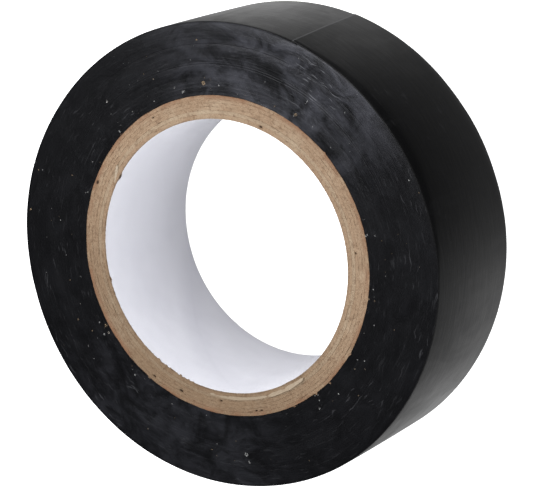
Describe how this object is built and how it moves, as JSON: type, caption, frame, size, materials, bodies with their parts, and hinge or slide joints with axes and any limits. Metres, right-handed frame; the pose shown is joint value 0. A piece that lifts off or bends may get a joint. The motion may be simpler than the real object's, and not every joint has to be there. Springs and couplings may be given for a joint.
{
  "type": "electrical tape roll",
  "caption": "Roll of black electrical tape wound on a laid-up paper core, with a free end that peels off the rim.",
  "frame": {"origin": "on the core's axis, in the plane of the lower side face that the roll lies on", "axes": "+Z along the core's axis to the upper side face; +X and +Y across the roll. The free end's tip lies 42 degrees clockwise of +X, seen from above, and the tail runs on clockwise from it"},
  "size_m": [0.0541, 0.0542, 0.018],
  "materials": {
    "liner_paper": "smooth",
    "kraft_board": "raw cut kraft board",
    "tape_film": "satin"
  },
  "bodies": {
    "roll": {"paper_liner": "liner_paper", "kraft_ply_1": "kraft_board", "kraft_ply_2": "kraft_board", "kraft_ply_3": "kraft_board", "kraft_ply_4": "kraft_board", "kraft_ply_5": "kraft_board", "kraft_ply_6": "kraft_board", "wound_tape": "tape_film", "outer_turn": "tape_film"},
    "tail_1": {"tail_link_1": "tape_film"},
    "tail_2": {"tail_link_2": "tape_film"},
    "tail_3": {"tail_link_3": "tape_film"},
    "tail_4": {"tail_link_4": "tape_film"},
    "tail_5": {"tail_link_5": "tape_film"},
    "tail_6": {"tail_link_6": "tape_film"},
    "tail_7": {"tail_link_7": "tape_film"},
    "tail_8": {"tail_link_8": "tape_film"},
    "tail_9": {"tail_link_9": "tape_film"},
    "tail_10": {"tail_link_10": "tape_film"}
  },
  "joints": [
    {"name": "peel_1", "type": "hinge", "parent": "roll", "child": "tail_1", "pos_m": [-0.00748, -0.02608, 0.009], "axis": [0, 0, -1], "range_deg": [0, 14]},
    {"name": "peel_2", "type": "hinge", "parent": "tail_1", "child": "tail_2", "pos_m": [-0.00453, -0.02675, 0.009], "axis": [0, 0, -1], "range_deg": [0, 14]},
    {"name": "peel_3", "type": "hinge", "parent": "tail_2", "child": "tail_3", "pos_m": [-0.00151, -0.0271, 0.009], "axis": [0, 0, -1], "range_deg": [0, 14]},
    {"name": "peel_4", "type": "hinge", "parent": "tail_3", "child": "tail_4", "pos_m": [0.00152, -0.0271, 0.009], "axis": [0, 0, -1], "range_deg": [0, 14]},
    {"name": "peel_5", "type": "hinge", "parent": "tail_4", "child": "tail_5", "pos_m": [0.00453, -0.02676, 0.009], "axis": [0, 0, -1], "range_deg": [0, 14]},
    {"name": "peel_6", "type": "hinge", "parent": "tail_5", "child": "tail_6", "pos_m": [0.00748, -0.02609, 0.009], "axis": [0, 0, -1], "range_deg": [0, 14]},
    {"name": "peel_7", "type": "hinge", "parent": "tail_6", "child": "tail_7", "pos_m": [0.01034, -0.0251, 0.009], "axis": [0, 0, -1], "range_deg": [0, 14]},
    {"name": "peel_8", "type": "hinge", "parent": "tail_7", "child": "tail_8", "pos_m": [0.01308, -0.02379, 0.009], "axis": [0, 0, -1], "range_deg": [0, 14]},
    {"name": "peel_9", "type": "hinge", "parent": "tail_8", "child": "tail_9", "pos_m": [0.01565, -0.02218, 0.009], "axis": [0, 0, -1], "range_deg": [0, 14]},
    {"name": "peel_10", "type": "hinge", "parent": "tail_9", "child": "tail_10", "pos_m": [0.01803, -0.0203, 0.009], "axis": [0, 0, -1], "range_deg": [0, 14]}
  ],
  "couplings": [
    {"joint": "peel_2", "follows": "peel_1", "ratio": 1},
    {"joint": "peel_3", "follows": "peel_1", "ratio": 1},
    {"joint": "peel_4", "follows": "peel_1", "ratio": 1},
    {"joint": "peel_5", "follows": "peel_1", "ratio": 1},
    {"joint": "peel_6", "follows": "peel_1", "ratio": 1},
    {"joint": "peel_7", "follows": "peel_1", "ratio": 1},
    {"joint": "peel_8", "follows": "peel_1", "ratio": 1},
    {"joint": "peel_9", "follows": "peel_1", "ratio": 1},
    {"joint": "peel_10", "follows": "peel_1", "ratio": 1}
  ]
}
